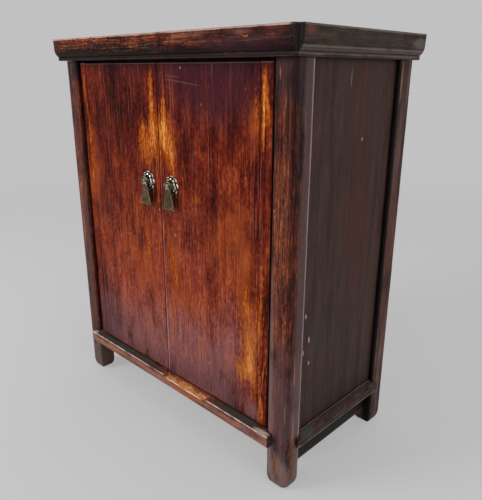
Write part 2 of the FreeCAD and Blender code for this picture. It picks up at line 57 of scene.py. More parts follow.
def addNode(tree, kind, inputs=None, **settings):  # inputs: values, hex colours, sockets or whole nodes
    made = tree.nodes.new("ShaderNode" + kind)
    for name, value in settings.items():
        setattr(made, name, value)
    for name, value in (inputs or {}).items():
        if isinstance(value, bpy.types.Node):
            value = value.outputs[0]
        elif isinstance(value, str):
            value = hexColour(value)
        if isinstance(value, bpy.types.NodeSocket):
            tree.links.new(value, made.inputs[name])
        else:
            made.inputs[name].default_value = value
    return made


def newMaterial(name, *pieces):  # put on its pieces; gives its tree and the object's coordinates
    material = bpy.data.materials.new(name)
    material.use_nodes = True
    tree = material.node_tree
    tree.nodes.clear()
    for word in pieces:
        piece = nodes[word] if word in nodes else bpy.data.objects[word]
        piece.data.materials.clear()
        piece.data.materials.append(material)
    return tree, addNode(tree, "TexCoord").outputs["Object"]


def finishSurface(tree, height, depth, strength, values):  # the last nodes; the bump's depth is in mm
    bump = addNode(tree, "Bump", {"Height": height, "Distance": depth * mm, "Strength": strength})
    surface = addNode(tree, "BsdfPrincipled", {**values, "Normal": bump})
    addNode(tree, "OutputMaterial", {"Surface": surface})


# Camera, from the photograph's own perspective. 482 x 500 picture, long side 36 mm of sensor.
camera = dict(
    place=(847.6, -806.5, 756.5), azimuth=44.413, elevation=18.559, roll=0.176, lens=38.545, sensor=36)
lens = bpy.data.cameras.new("photoCamera")
lens.lens = camera["lens"]
lens.sensor_width = camera["sensor"]
lens.clip_start, lens.clip_end = 0.01, 100
viewer = bpy.data.objects.new("photoCamera", lens)
viewer.matrix_world = (Matrix.Translation(Vector(camera["place"]) * mm)
                       @ Matrix.Rotation(radians(camera["azimuth"]), 4, "Z")
                       @ Matrix.Rotation(radians(90 - camera["elevation"]), 4, "X")
                       @ Matrix.Rotation(radians(camera["roll"]), 4, "Z"))
bpy.context.scene.collection.objects.link(viewer)
bpy.context.scene.camera = viewer
print("camera placed")

# Floor, backdrop and studio light, in metres. Softboxes: place, size, watts
studio = dict(
    paper="#c1c1c1", shadowPaper="#dcdcdc", shadowShare=0.35, worldLight=0.42, floorSize=9,
    floorFadeStart=1.2, floorFadeEnd=3.4, aim=(0, 0, 0.42),
    softboxes=dict(
        key=((-1.5, -2.6, 2.1), 1.3, 62), fill=((2.9, -0.6, 1.5), 2.4, 26), top=((0.2, 0.4, 3.2), 2.6, 14)))


def buildStudio():
    scene = bpy.context.scene
    scene.view_settings.view_transform = "Standard"
    world = bpy.data.worlds.new("studio")
    scene.world = world
    world.use_nodes = True
    tree = world.node_tree
    tree.nodes.clear()
    rays = addNode(tree, "LightPath").outputs
    seen = rays["Is Camera Ray"]
    for kind in ("Is Transmission Ray", "Is Glossy Ray"):
        seen = addNode(tree, "Math", {0: seen, 1: rays[kind]}, operation="MAXIMUM")
    light = addNode(tree, "Background", {"Color": (1, 1, 1, 1), "Strength": studio["worldLight"]})
    paper = addNode(tree, "Background", {"Color": studio["paper"], "Strength": 1})
    mix = addNode(tree, "MixShader", {0: seen, 1: light, 2: paper})
    addNode(tree, "OutputWorld", {"Surface": mix})

    tree, spot = newMaterial("paleStudioPaper")  # matt seamless paper, no gloss at all
    direct = addNode(tree, "LightPath").outputs["Is Camera Ray"]
    flat = addNode(tree, "Emission", {"Color": studio["paper"]})
    matt = addNode(tree, "BsdfDiffuse", {"Color": studio["shadowPaper"]})
    share = addNode(tree, "MapRange", {"Value": direct, "To Min": 1, "To Max": studio["shadowShare"]})
    surface = addNode(tree, "MixShader", {0: share, 1: flat, 2: matt})
    reach = addNode(tree, "VectorMath", {0: spot}, operation="LENGTH").outputs["Value"]
    limits = {"From Min": studio["floorFadeStart"], "From Max": studio["floorFadeEnd"]}
    fade = addNode(tree, "MapRange", {"Value": reach, **limits}, interpolation_type="SMOOTHSTEP")
    gone = addNode(tree, "Math", {0: fade, 1: direct}, operation="MULTIPLY")
    clear = addNode(tree, "BsdfTransparent")
    addNode(tree, "OutputMaterial", {"Surface": addNode(tree, "MixShader", {0: gone, 1: surface, 2: clear})})

    shape = bmesh.new()
    bmesh.ops.create_grid(shape, x_segments=8, y_segments=8, size=studio["floorSize"] / 2)
    mesh = bpy.data.meshes.new("studioFloor")
    shape.to_mesh(mesh)
    shape.free()
    mesh.materials.append(bpy.data.materials["paleStudioPaper"])
    floor = bpy.data.objects.new("studioFloor", mesh)
    scene.collection.objects.link(floor)

    for name, (place, size, watts) in studio["softboxes"].items():
        lamp = bpy.data.lights.new(name + "Softbox", "AREA")
        lamp.size = size
        lamp.energy = watts
        box = bpy.data.objects.new(name + "Softbox", lamp)
        box.location = place
        box.rotation_mode = "QUATERNION"
        box.rotation_quaternion = (Vector(studio["aim"]) - Vector(place)).to_track_quat("-Z", "Y")
        scene.collection.objects.link(box)


buildStudio()
print("studio lit")


def newPiece(name, shape, body):  # a finished bmesh becomes a piece that rides on its body
    bmesh.ops.recalc_face_normals(shape, faces=shape.faces)
    mesh = bpy.data.meshes.new(name)
    shape.to_mesh(mesh)
    shape.free()
    for polygon in mesh.polygons:
        polygon.use_smooth = True
    mesh.set_sharp_from_angle(angle=radians(smoothAngle))
    piece = bpy.data.objects.new(name, mesh)
    bpy.context.scene.collection.objects.link(piece)
    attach(piece, body)
    return piece


def cut(shape, place, way):  # the plane's edges are added, and nothing is taken away
    everything = shape.verts[:] + shape.edges[:] + shape.faces[:]
    bmesh.ops.bisect_plane(shape, geom=everything, dist=cutGap, plane_co=place, plane_no=way)


grainAxes = {"x": (1, 0, 0), "y": (0, 1, 0), "z": (0, 0, 1)}  # wood grain runs along one axis

# Frame members with hand-planed, knocked arrises: each is the member's own solid, cut finer, worn inwards.
# In mm. members: new name, grain, spacing of the cuts along it, chance knocks. wave, ripple: size, depth.
# foot: height, share worn away. places: knocks seen in the photograph, each place, radius, depth.
wear = dict(
    seed=7, arris=1.6, arrisAngle=0.9, wave=(60, 0.7), ripple=(9, 0.45), knockSize=(3, 8),
    knockDepth=(0.4, 1.4), foot=(20, 0.26),
    members=dict(
        cap_front_rail=("cappingFront", "x", 5, 50), cap_back_rail=("cappingBack", "x", 10, 14),
        cap_left_rail=("cappingLeft", "y", 8, 12), cap_right_rail=("cappingRight", "y", 5, 24),
        front_sill_rail=("sill", "x", 3, 60), left_side_rail=("sideRailLeft", "y", 4, 30),
        right_side_rail=("sideRailRight", "y", 4, 30), front_left_post=("postFrontLeft", "z", 4, 30),
        front_right_post=("postFrontRight", "z", 4, 30), back_left_post=("postBackLeft", "z", 5, 12),
        back_right_post=("postBackRight", "z", 5, 12)),
    places=[
        (-150, -183, 114, 16, 1.2), (-125, -188, 820, 9, 2.2), (250, -189, 806, 7, 2),
        (-260, -189, 820, 12, 1.4), (60, -189, 820, 14, 1.2), (340, -176, 820, 12, 1.8),
        (-340, -176, 820, 12, 1.8), (286, -181, 114, 14, 2.4), (262, -177, 114, 9, 1.6),
        (348, -120, 114, 12, 2), (348, 96, 114, 18, 2.2), (348, 20, 114, 10, 1.6)],
    crossCuts=dict(
        front_sill_rail={
            "y": (-181, -179, -177, -175, -173, -171, -168, -165), "z": (112.5, 110.5, 108.5, 106, 102)},
        right_side_rail={"x": (334, 337, 340, 343, 346), "z": (110, 105, 100, 95)},
        left_side_rail={"x": (-334, -337, -340, -343, -346), "z": (110, 105, 100, 95)}),
    weathered=dict(
        sources=("left_side_rail", "right_side_rail"), inner=333, outer=348, bottom=90, height=24,
        depth=9.5, curve=1.3),
    split=dict(
        source="front_sill_rail", left=-4, right=132, back=-167, top=114, down=10, depth=4.6, endReach=2.5,
        backReach=3))


def uneven(amount, *place):  # smooth noise, both ways
    return amount * noise.noise(Vector(place))


def sunkBy(source, place):  # how far a broken or weathered top has sunk at a place, in mm
    x, y, z = place
    slope = wear["weathered"]
    if source in slope["sources"]:
        outward = max((abs(x) - slope["inner"]) / (slope["outer"] - slope["inner"]), 0)
        upward = max((z - slope["bottom"]) / slope["height"], 0)
        rough = 1 + uneven(0.5, 0, y / 45, 3) + uneven(0.25, x / 4, y / 14, 6)
        return slope["depth"] * rough * outward ** slope["curve"] * upward
    split = wear["split"]
    if source != split["source"]:
        return 0
    ends = min(x - split["left"], split["right"] - x) + uneven(7, 0, y / 3, z / 3)
    inward = split["back"] - y + uneven(3, x / 14, 0, 4)
    if ends < 0 or inward < 0:
        return 0
    share = min(ends / split["endReach"], 1) * min(inward / split["backReach"], 1)
    splinter = 0.8 + uneven(0.5, x / 30, y / 2.2, 9)
    height = max((z - split["top"] + split["down"]) / split["down"], 0)
    return split["depth"] * share * splinter * height


def wornMember(source, name, axis, spacing, knockCount, dice):
    shape = bmesh.new()
    shape.from_mesh(nodes[source].data)
    bmesh.ops.remove_doubles(shape, verts=shape.verts, dist=mergeGap)
    bmesh.ops.dissolve_limit(shape, angle_limit=radians(0.5), verts=shape.verts, edges=shape.edges)
    low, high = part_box(source)
    along = "xyz".index(axis)
    length = high[along] - low[along]
    arrises = [edge for edge in shape.edges if len(edge.link_faces) == 2 and edge.is_convex
               and edge.calc_face_angle() > wear["arrisAngle"]
               and abs((edge.verts[1].co - edge.verts[0].co).normalized()[along]) > 0.99]
    bmesh.ops.bevel(shape, geom=arrises, offset=wear["arris"] * mm, offset_type="OFFSET",
                    affect="EDGES", segments=3, profile=0.5, material=-1, clamp_overlap=True)
    outer = [v.co.copy() for v in shape.verts if v.calc_shell_factor() > 1.02]  # only points on an arris
    cuts = int(length / (spacing * mm))
    planes = [(axis, low[along] + length * number / cuts) for number in range(1, cuts)]
    for across, levels in wear["crossCuts"].get(source, {}).items():
        planes += [(across, level * mm) for level in levels]
    for across, level in planes:
        cut(shape, Vector(grainAxes[across]) * level, grainAxes[across])
    knocks = [(Vector(place) * mm, radius * mm, depth * mm)
              for *place, radius, depth in wear["places"]]
    for number in range(knockCount):
        place = dice.choice(outer).copy()
        place[along] = dice.uniform(low[along], high[along])
        radius = dice.uniform(*wear["knockSize"]) * mm
        knocks.append((place, radius, dice.uniform(*wear["knockDepth"]) * mm))
    shape.normal_update()
    moves = []
    footTop, footShrink = wear["foot"]
    middle = Vector(((low[0] + high[0]) / 2, (low[1] + high[1]) / 2, 0))
    for vertex in shape.verts:
        depth = 0
        for size, amount in (wear["wave"], wear["ripple"]):
            depth += amount * mm * (0.5 + 0.5 * noise.noise(vertex.co / (size * mm)))
        for place, radius, most in knocks:
            gap = (vertex.co - place).length / radius
            if gap < 1:
                depth = max(depth, most * (1 - gap * gap) ** 2)
        move = vertex.normal * -depth
        move.z -= sunkBy(source, vertex.co / mm) * mm
        share = 1 - vertex.co.z / (footTop * mm)
        if share > 0:  # feet worn round
            move += (middle - vertex.co) * Vector((1, 1, 0)) * footShrink * share ** 2
        moves.append(move)
    for vertex, move in zip(shape.verts, moves):
        vertex.co += move
    piece = newPiece(name, shape, "case")
    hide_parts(source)


dice = random.Random(wear["seed"])
for source, values in wear["members"].items():
    wornMember(source, *values, dice)
print("frame members worn")


def streaks(tree, spot, axis, across, along, detail, offset):  # noise drawn out along the grain, in mm
    scale = [1 / ((along if share else across) * mm) for share in grainAxes[axis]]
    drawn = addNode(tree, "Mapping", {"Vector": spot, "Location": [offset] * 3, "Scale": scale})
    return addNode(tree, "TexNoise", {"Vector": drawn, "Scale": 1, "Detail": detail, "Roughness": 0.6})


def weighted(tree, total, value, weight):  # total + (value - 0.5) * weight
    centred = addNode(tree, "Math", {0: value, 1: 0.5}, operation="SUBTRACT")
    return addNode(tree, "Math", {0: centred, 1: weight, 2: total}, operation="MULTIPLY_ADD")


def grained(tree, total, grain, weights):  # each of the grain's noises adds its share
    for word, weight in weights.items():
        total = weighted(tree, total, grain[word], weight)
    return total


def stepped(tree, value, low, high, top=1):  # 0 below low, top above high
    return addNode(tree, "MapRange", {"Value": value, "From Min": low, "From Max": high, "To Max": top})


def product(tree, first, second):
    return addNode(tree, "Math", {0: first, 1: second}, operation="MULTIPLY", use_clamp=True)


def enclosed(tree, reach, start, end, most=1):  # how shut in a place is, within a reach in mm
    openness = addNode(tree, "AmbientOcclusion", {"Distance": reach * mm}, samples=8).outputs["AO"]
    return stepped(tree, openness, start, end, most)


def patches(tree, spot, places, total=0):  # soft ovals in mm that add up, each endless across its plane
    places = places if isinstance(places, dict) else {"front": places}
    for plane, ovals in places.items():
        for *numbers, strength in ovals:
            turn = (0, 0, 0)
            if plane == "crack":  # a thin line on the front, from one end to the other
                startX, startZ, endX, endZ, half = numbers
                length = hypot(endX - startX, endZ - startZ)
                centre = [(startX + endX) / 2, 0, (startZ + endZ) / 2]
                reach = [half, everywhere, length / 2]
                turn = (0, atan2(endX - startX, endZ - startZ), 0)
            elif plane == "spot":
                centre, reach = numbers[:3], numbers[3:]
            else:
                centre, reach = numbers[:2], numbers[2:]
                facing = ("side", "front", "top").index(plane)
                centre.insert(facing, 0)
                reach.insert(facing, everywhere)
            placed = addNode(tree, "Mapping", {
                "Vector": spot, "Location": [c * mm for c in centre], "Rotation": turn,
                "Scale": [r * mm for r in reach]}, vector_type="TEXTURE")
            oval = addNode(tree, "TexGradient", {"Vector": placed}, gradient_type="SPHERICAL").outputs["Fac"]
            total = addNode(tree, "Math", {0: oval, 1: strength, 2: total}, operation="MULTIPLY_ADD")
    return total


def mixed(tree, amount, first, second):
    return addNode(tree, "Mix", {0: amount, 6: first, 7: second}, data_type="RGBA").outputs[2]


def ramped(tree, value, stops):
    ramp = addNode(tree, "ValToRGB", {0: value})
    elements = ramp.color_ramp.elements
    while len(elements) < len(stops):
        elements.new(0.5)
    for element, (place, text) in zip(elements, stops):
        element.position = place
        element.color = hexColour(text)
    return ramp


def tinted(tree, colour, spot, blotch, layers):  # each layer: hex, amount, unevenness, places
    for text, amount, swing, places in layers:
        cover = product(tree, patches(tree, spot, places), weighted(tree, 1, blotch, 2 * swing))
        colour = mixed(tree, stepped(tree, cover, 0.1, 0.8, amount), colour, text)
    return colour


# Lacquer over softwood. Its tone follows the grain; bare places, scratches, chips, grime, painted shade and
# painted highlights lie over it.
def makeLacquer(name, look, *pieces):
    tree, spot = newMaterial(name, *pieces)
    axis = look["grain"]
    grain = {word: streaks(tree, spot, axis, *size) for word, size in look["sizes"].items()}
    blotch = grain["blotch"]

    # Places are drawn out along the grain, unevenly.
    drag = weighted(tree, 0, grain["ragged"], 1)
    way = [share * look["drag"] * mm for share in grainAxes[axis]]
    shift = addNode(tree, "VectorMath", {0: way, "Scale": drag}, operation="SCALE")
    still = spot
    parts = addNode(tree, "SeparateXYZ", {0: spot}).outputs
    if look.get("twin"):  # left and right pieces wear alike
        right = addNode(tree, "Math", {0: parts["X"]}, operation="ABSOLUTE")
        still = addNode(tree, "CombineXYZ", {0: right, 1: parts["Y"], 2: parts["Z"]})
    moved = addNode(tree, "VectorMath", {0: still, 1: shift}, operation="ADD")

    tone = grained(tree, look["start"], grain, dict(zip(grain, look["weights"])))
    tone = patches(tree, moved, look["shade"], tone)
    colour = tinted(tree, ramped(tree, tone, look["colours"]), moved, blotch, look["tints"])
    if look["fine"]:  # fibres that stand out of the hazy part, dark and light
        fibres = grained(tree, 0.5, grain, look["fineWeights"])
        hazy = patches(tree, moved, look["fine"])
        for start, end, amount, text in look["fineColours"]:
            cover = product(tree, stepped(tree, fibres, start, end, amount), hazy)
            colour = mixed(tree, cover, colour, text)

    # Bare wood where the lacquer is rubbed off, then worn edges, seams and stains, and painted shadows and
    # highlights
    bare = grained(tree, patches(tree, moved, look["bare"]), grain, look["bareWeights"])
    bareMask = stepped(tree, bare, *look["bareStep"])
    woodTone = grained(tree, stepped(tree, bare, *look["woodStep"]), grain, look["woodWeights"])
    wood = tinted(tree, ramped(tree, woodTone, look["wood"]), still, blotch, look["woodTints"])
    colour = tinted(tree, mixed(tree, bareMask, colour, wood), still, blotch, look["edges"])

    # Thin pale scratches where a long noise peaks, and chips that show the pale ground
    low, high, amount, text = look["scratch"]
    colour = mixed(tree, stepped(tree, grain["line"], low, high, amount), colour, text)
    size, rarity, reach, text = look["chips"]
    scale = [(0.5 if share else 1) / (size * mm) for share in grainAxes[axis]]
    cells = addNode(tree, "Mapping", {"Vector": spot, "Scale": scale})
    cells = addNode(tree, "TexVoronoi", {"Vector": cells, "Scale": 1}).outputs
    near = stepped(tree, weighted(tree, cells["Distance"], blotch, 0.2), reach, reach * 0.6)
    rare = addNode(tree, "SeparateColor", {0: cells["Color"]})
    chip = product(tree, near, stepped(tree, rare, rarity, rarity + 0.01))
    colour = mixed(tree, chip, colour, text)

    # Faces that look into the cabinet were never lacquered.
    inside = 1
    for word, place, reach in insideBox:
        gap = addNode(tree, "Math", {0: parts[word], 1: place * mm}, operation="SUBTRACT")
        gap = addNode(tree, "Math", {0: gap}, operation="ABSOLUTE")
        inside = product(tree, inside, stepped(tree, gap, (reach + 0.5) * mm, (reach - 0.5) * mm))
    raw = grained(tree, 0.5, grain, look["rawWeights"])
    colour = mixed(tree, inside, colour, ramped(tree, raw, dustyWood))

    # Old grime and painted shade darken the corners, quirks and gaps.
    reach, amount = look["soilAndShade"]
    soiledAndShaded = weighted(tree, enclosed(tree, reach, 0.85, 0.25), blotch, 0.6)
    colour = mixed(tree, stepped(tree, soiledAndShaded, 0.1, 0.9, amount), colour, soilAndShadeColour)

    whole, rubbed = look["rough"]
    rough = addNode(tree, "MapRange", {"Value": bareMask, "To Min": whole, "To Max": rubbed})
    height = weighted(tree, grain["fibre"], grain["hair"], 0.8)
    for layer, depth in ((bareMask, -0.8), (chip, -1.5)):
        height = addNode(tree, "Math", {0: layer, 1: depth, 2: height}, operation="MULTIPLY_ADD")
    finishSurface(tree, height, look["bump"], 0.8, {
        "Base Color": colour, "Roughness": weighted(tree, rough, blotch, 0.3), "IOR": 1.5,
        "Specular IOR Level": look["gloss"]})


# Oxblood lacquer rubbed on softwood boards: dark where whole, orange where thin, gold where it is gone.
# sizes: mm across and along the grain, detail, offset. weights: one for each of the first five. Ovals on the
# front (a plain list), side or top, or at a spot: place and reach in mm, strength. crack: ends, half width,
# strength. tints, edges: hex, amount, unevenness, ovals. chips: spacing, rarity, reach, hex.
# near black, for old grime and the painted shade in corners and gaps
soilAndShadeColour = "#090605"
insideBox = [("X", 0, 319), ("Y", -2, 151), ("Z", 438, 339)]  # middle and reach along each axis, in mm
dustyWood = [(0.2, "#332620"), (0.5, "#523c2e"), (0.85, "#6f5541")]
wornWood = [(0.18, "#6a250b"), (0.4, "#923d10"), (0.66, "#b05a1a"), (0.86, "#c8782a"), (1, "#e0a460")]
doorLook = dict(
    grain="z", drag=90,
    sizes=dict(
        hair=(1.6, 30, 2, 0), fibre=(3.4, 150, 3, 2.9), band=(15, 420, 3, 3.7), blotch=(34, 80, 5, 8.1),
        mottle=(4.5, 9, 3, 6.4), ragged=(4, 70, 3, 5.5), line=(1.6, 170, 1, 12.3)),
    start=0.45, weights=(0.65, 0.7, 0.55, 0.95, 0.8),
    colours=[
        (0.08, "#1f0908"), (0.24, "#3b120d"), (0.4, "#581a10"), (0.54, "#702718"), (0.68, "#8c3b1b"),
        (0.84, "#a85526"), (1, "#c07c42")],
    shade=[
        (150, 750, 170, 80, -0.16), (-230, 140, 130, 90, -0.2), (-150, 700, 200, 130, -0.16),
        (0, 770, 900, 18, -0.2), (170, 350, 170, 260, 0.16), (195, 280, 60, 110, 0.1),
        (-90, 320, 170, 230, 0.12), (244, 265, 36, 150, 0.24), (170, 110, 140, 60, -0.16),
        (150, 128, 70, 26, -0.16), (102, 706, 40, 40, -0.12), (0, 560, 60, 200, 0.1),
        (150, 180, 60, 60, -0.1), (60, 130, 70, 50, -0.1)],
    tints=[
        ("#3f2029", 0.7, 1, [(150, 745, 180, 115, 1.2), (-90, 770, 220, 50, 0.6)]),
        ("#9c4a22", 0.6, 2, [
            (-97, 350, 44, 110, 0.9), (-50, 320, 34, 100, 0.8), (30, 350, 42, 120, 0.9),
            (75, 290, 40, 90, 0.8), (228, 361, 36, 120, 0.9), (150, 448, 46, 100, 0.7),
            (210, 470, 46, 100, 0.7), (-255, 520, 50, 150, 0.8), (248, 668, 17, 66, 0.95)]),
        # pinkish and purple-grey haze toward the bottom: dusty bloom on the lacquer and a painted sheen of
        # the pale floor
        ("#906266", 0.55, 1.7, [
            (-60, 170, 260, 170, 0.9), (-180, 120, 160, 160, 0.3), (90, 200, 110, 130, 0.9),
            (150, 150, 130, 90, 1), (185, 270, 60, 110, 0.8), (250, 136, 30, 26, 1.1)]),
        ("#4d3840", 0.5, 1.8, [
            (170, 150, 90, 60, 0.8), (60, 130, 90, 50, 0.7), (-60, 134, 150, 50, 0.7),
            (-250, 180, 90, 110, 1.2)]),
        ("#9a4232", 0.45, 2.2, [
            (-120, 300, 170, 140, 0.9), (60, 380, 180, 160, 0.9), (246, 290, 30, 120, 1.1)])],
    edges=[
        ("#bd9084", 0.7, 2, [
            (-6.8, 190, 2.2, 150, 1.9), (-7, 420, 1.8, 230, 0.8), (288, 330, 1.6, 170, 1.8)]),
        ("#8a4a35", 0.6, 2.4, [(-110, 119, 130, 5, 1.6), (100, 119, 120, 4, 1)]),
        # painted shadows of the tags, dark beside their right edges
        ("#1c0a08", 0.7, 0.8, [(-28, 517, 9, 22, 1.7), (47, 512, 9, 24, 1.7)]),
        ("#75595b", 0.7, 1.2, [(0, 769.5, 900, 2.6, 1.8)]),
        # painted shadow, near black, in the gaps beside the posts and between the doors
        ("#0a0504", 0.95, 0.5, {"top": [
            (290, -163, 7.5, 60, 2.6), (-290, -163, 1.6, 60, 1.6), (-9.4, -163, 1.3, 60, 1.6)]}),
        ("#855558", 0.4, 2.2, {"crack": [(-5, 743, 135, 729, 1.4, 1.4), (10, 748, 70, 744, 1.2, 1.2)]})],
    bare={
        "front": [
            # both sides of the seam, above the pulls
            (-27, 715, 11, 75, 0.95), (-28, 650, 17, 66, 0.8), (-60, 618, 25, 78, 0.95),
            (-34, 612, 22, 66, 0.8), (-10, 630, 20, 80, 0.8), (12, 700, 9, 58, 0.7), (5, 655, 15, 60, 0.8),
            (18, 632, 27, 78, 1), (32, 600, 17, 54, 0.75), (64, 584, 5, 4, 1.2), (68, 576, 4, 4, 1.1),
            # hinge stiles and the outer edges
            (-273, 735, 6, 36, 0.85), (-269, 700, 7, 50, 0.85), (-262, 640, 10, 70, 0.72),
            (-256, 570, 18, 90, 0.5), (-270, 490, 22, 150, 0.5), (268, 730, 9, 44, 1),
            (275, 695, 9, 44, 1.1), (266, 655, 7, 56, 1), (251, 690, 14, 70, 0.75),
            # lower right, rubbed by the open hand
            (266, 700, 3.5, 60, 1.4), (228, 361, 18, 90, 0.6), (267, 410, 12, 130, 0.6),
            (262, 305, 17, 100, 0.72), (216, 215, 22, 50, 0.9), (238, 222, 22, 44, 0.45),
            (240, 250, 19, 76, 0.95), (251, 205, 18, 50, 0.85), (272, 137, 10, 40, 0.95),
            (268, 190, 8, 70, 0.6), (240, 320, 24, 110, 0.45),
            # mottles in the lower middle
            (-97, 350, 34, 90, 0.46), (-60, 392, 22, 60, 0.52), (-48, 287, 16, 60, 0.46),
            (19, 396, 15, 90, 0.6), (35, 334, 20, 80, 0.55), (76, 304, 20, 70, 0.56),
            (-18, 400, 9, 70, 0.5), (149, 448, 26, 90, 0.38), (204, 470, 24, 90, 0.4),
            (226, 575, 18, 70, 0.4), (0, 420, 300, 330, 0.12), (-9.4, 190, 2.4, 110, 0.9)],
        "crack": [
            (281, 275, 270, 190, 1.3, 1.6), (270, 190, 264, 133, 1.3, 1.6), (224, 731, 227, 719, 1.6, 1.6),
            (117, 691, 119, 684, 1.6, 1.4), (124, 600, 124, 500, 0.9, 0.9)]},
    bareWeights=dict(fibre=1, ragged=0.5, hair=0.5, mottle=1), bareStep=(0.36, 0.54), wood=wornWood,
    woodTints=[("#d8905a", 0.2, 1.4, [(236, 240, 60, 140, 1.4)])], fine=[(-10, 270, 360, 250, 1.7)],
    fineColours=[(0.44, 0.2, 0.6, "#3c1512"), (0.56, 0.8, 0.6, "#b56b42")],
    scratch=(0.67, 0.75, 0.4, "#b07a6c"), chips=(16, 0.95, 0.11, "#b08a78"), soilAndShade=(12, 0.9),
    rough=(0.34, 0.55), gloss=0.025, bump=0.25, fineWeights=dict(hair=1, fibre=1, mottle=0.7),
    rawWeights={"fibre": 0.6, "blotch": 0.7}, woodStep=(0, 1.3, 0.84),
    woodWeights=dict(hair=1.1, mottle=0.7, blotch=0.6))
makeLacquer("rubbedOxbloodLacquerDoor", doorLook,
            "left_door_board", "left_door_stile", "right_door_board", "right_door_stile")
print("doors lacquered")

# The posts are the same lacquer, darker and more whole, with a painted highlight line down the rear arris
postLook = dict(
    doorLook,
    wood=[(0.18, "#56240f"), (0.4, "#7b3f1f"), (0.66, "#96592f"), (0.86, "#ae7746"), (1, "#c9a27c")],
    woodTints=[], fine=[], drag=50, start=0.39, weights=(1, 0.9, 0.6, 0.7, 0.6),
    colours=[
        (0.08, "#160706"), (0.24, "#2c100c"), (0.4, "#481b13"), (0.54, "#652a17"), (0.68, "#824021"),
        (0.84, "#a06538"), (1, "#c3976c")],
    shade={
        "front": [(310, 790, 80, 120, -0.2), (312, 520, 26, 300, 0.14), (318, 130, 24, 110, -0.12)],
        # these spots darken the rounded outer corner: painted shade
        "spot": [
            (336, -164, 760, 14, 14, 110, -0.4), (336, -164, 560, 12, 12, 200, -0.12),
            (334, -166, 120, 16, 14, 150, -0.34)]},
    tints=[
        ("#3c2228", 0.6, 1.2, [(310, 790, 60, 110, 1.2)]),
        ("#564443", 0.72, 1.8, {"top": [(346, -138, 18, 24, 2)]}),
        # painted sheen down the rounded inner arris, stronger low down
        ("#8d6f6c", 0.5, 1.6, {"spot": [
            (294, -168, 240, 13, 30, 260, 1.6), (298, -169, 110, 16, 20, 90, 1)]}),
        ("#6f5658", 0.36, 2.2, [(316, 190, 60, 150, 1.3)]),
        ("#857069", 0.66, 1.8, [(312, 30, 60, 80, 1.3)])],
    edges=[
        # painted highlight down the rear arris
        ("#9c8a88", 0.85, 1.3, {"top": [(341, -129, 8, 8, 2.2)]}),
        ("#a5795c", 0.6, 2.6, {"spot": [
            (339, -153, 255, 3, 3, 50, 1.1), (340, -151, 130, 3, 3, 44, 1.2),
            (331, -165, 175, 2.4, 3, 40, 1)]}),
        # painted shadow in the gap beside the door
        ("#0a0504", 0.95, 0.5, {"top": [(290.5, -169, 5, 40, 2.6)]})],
    bare={
        "front": [
            (306, 655, 7, 130, 0.36), (317, 600, 8, 160, 0.42), (311, 470, 13, 170, 0.42),
            (322, 400, 7, 150, 0.38), (303, 757, 3, 12, 1), (327, 300, 8, 90, 0.4), (313, 51, 7, 20, 0.5),
            (318, 190, 7, 120, 0.35)],
        "spot": [
            (340, -150, 60, 24, 20, 90, 0.5), (342, -150, 230, 8, 14, 220, 0.45),
            (339, -166, 104, 9, 9, 9, 0.9), (316, -168, 40, 30, 20, 60, 0.3)]},
    scratch=(0.72, 0.76, 0.4, "#9c8078"), chips=(11, 0.94, 0.13, "#a08676"), rough=(0.3, 0.5), gloss=0.16)
makeLacquer("rubbedOxbloodLacquerPost", postLook, "postFrontRight")
# the far post keeps more of its red
leftPostLook = dict(
    postLook, start=0.37, soilAndShade=(8, 0.6), shade=[(-310, 790, 80, 60, -0.3), (-312, 420, 60, 300, 0.1)],
    tints=[
        ("#4f4140", 0.6, 1.4, {"top": [(-346, -138, 18, 24, 2)]}),
        ("#574845", 0.8, 1.6, [(-312, 40, 60, 70, 1.4)])],
    edges=[
        # painted highlight down the rear arris, and painted shadow at the top of the gap beside the door
        ("#9c8a88", 0.7, 1.6, {"top": [(-341, -129, 6, 6, 2)]}),
        ("#0a0504", 0.8, 0.5, {"spot": [(-292, -160, 775, 7, 14, 60, 2)]})],
    bare=[
        (-334, 640, 4, 120, 0.9), (-328, 700, 4, 60, 0.7), (-335, 400, 4, 200, 0.8),
        (-326, 250, 6, 110, 0.6), (-300, 330, 5, 120, 0.4)])
makeLacquer("rubbedOxbloodLacquerFarPost", leftPostLook, "postFrontLeft")

# Sides, in a thin dark lacquer that has gone grey-brown
sideLook = dict(
    doorLook, woodTints=[], fine=[], twin=True, start=0.46, weights=(0.3, 0.35, 0.45, 0.4, 0.2),
    colours=[
        (0.1, "#1d1311"), (0.35, "#33241f"), (0.5, "#43302b"), (0.65, "#503833"), (0.85, "#614740"),
        (1, "#7a6258")],
    shade={"side": [(0, 770, 200, 60, -0.05), (0, 130, 200, 90, -0.12)]},
    tints=[
        ("#4a2822", 0.6, 1, {"side": [(20, 640, 70, 260, 0.9), (40, 420, 60, 200, 0.8)]}),
        ("#2a362f", 0.5, 1.2, {"side": [(-74, 284, 30, 40, 0.9)]})],
    bare=[], bareWeights={"fibre": 0.3, "hair": 0.3}, scratch=(0.74, 0.78, 0.3, "#7d6c64"),
    chips=(38, 0.95, 0.06, "#a08d7c"),
    edges=[
        ("#b5a28f", 0.9, 0.4, {"side": [
            (-114, 345, 2.4, 5.5, 2.4), (-102, 295, 2.4, 7, 2.6), (-118, 274, 2, 7, 1.8),
            (-100, 247, 2.2, 5, 2.2), (26, 642, 2, 3.4, 2.4)]}),
        ("#8a7c70", 0.6, 0.6, {"side": [(-19, 746, 1.6, 18, 1.8)]})],
    rough=(0.4, 0.55), gloss=0.1)
makeLacquer("dullDarkLacquerSide", sideLook, "left_side_panel", "right_side_panel")
